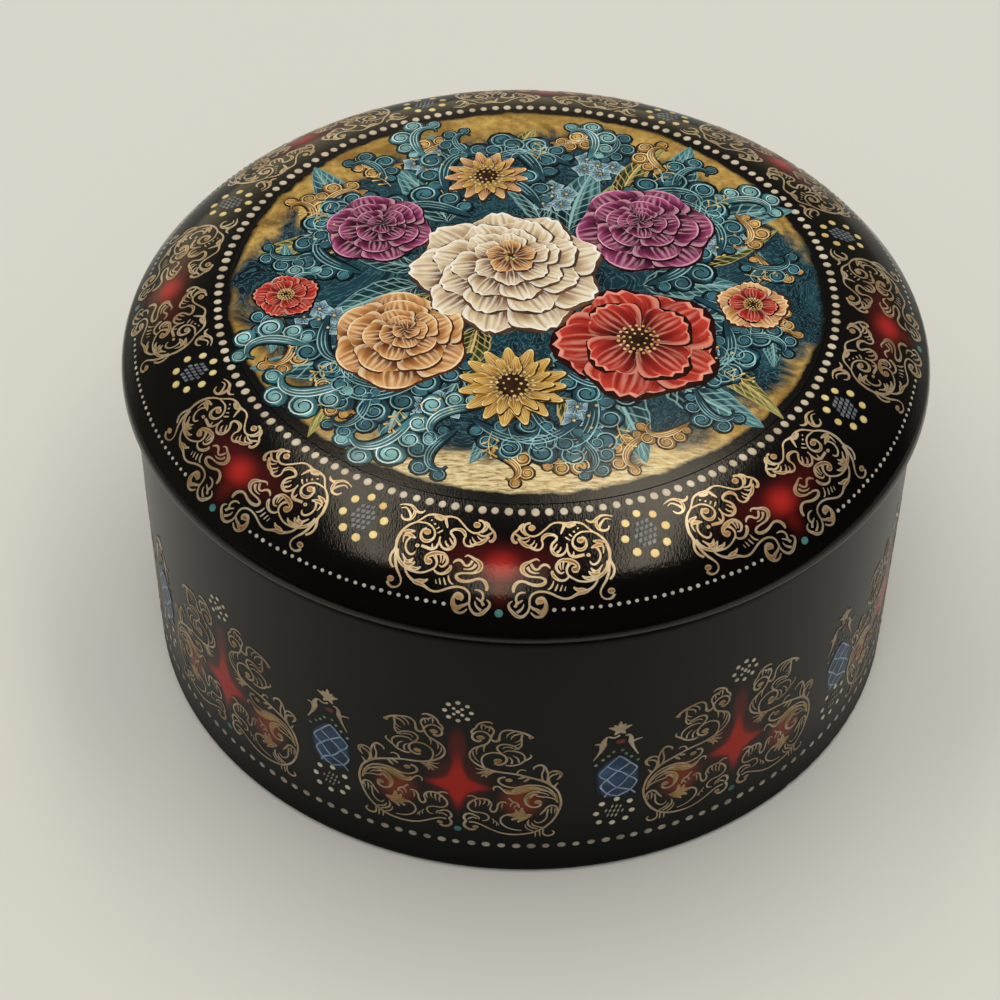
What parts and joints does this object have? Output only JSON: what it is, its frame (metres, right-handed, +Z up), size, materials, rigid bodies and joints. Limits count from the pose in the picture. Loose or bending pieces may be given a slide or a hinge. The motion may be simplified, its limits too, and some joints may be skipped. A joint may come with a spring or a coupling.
{
  "type": "lacquer box",
  "caption": "Round papier-mache box with a lift-off domed lid, a collar that guides the lid, and painted folk ornament on black lacquer.",
  "frame": {"origin": "on the surface that the box stands on, at the centre of its round foot", "axes": "+Z up along the box's axis of revolution; -Y towards the side that the picture shows"},
  "size_m": [0.12, 0.12, 0.0653],
  "materials": {
    "black_lacquer": "black oil lacquer over pressed papier-mache, polished to a gloss on the lid and satin on the wall",
    "red_lacquer": "red oil lacquer over pressed papier-mache, satin",
    "ornament_paint": "opaque tempera and gold paint under clear lacquer"
  },
  "bodies": {
    "base": {"base_wall": "black_lacquer", "base_floor": "red_lacquer", "base_liner": "red_lacquer"},
    "lid": {"lid_crown": "black_lacquer", "lid_hoop": "red_lacquer", "picture_panel": "ornament_paint"}
  },
  "joints": [
    {"name": "lid_lift", "type": "slide", "parent": "base", "child": "lid", "axis": [0, 0, 1], "range_m": [0, 0.08]}
  ]
}
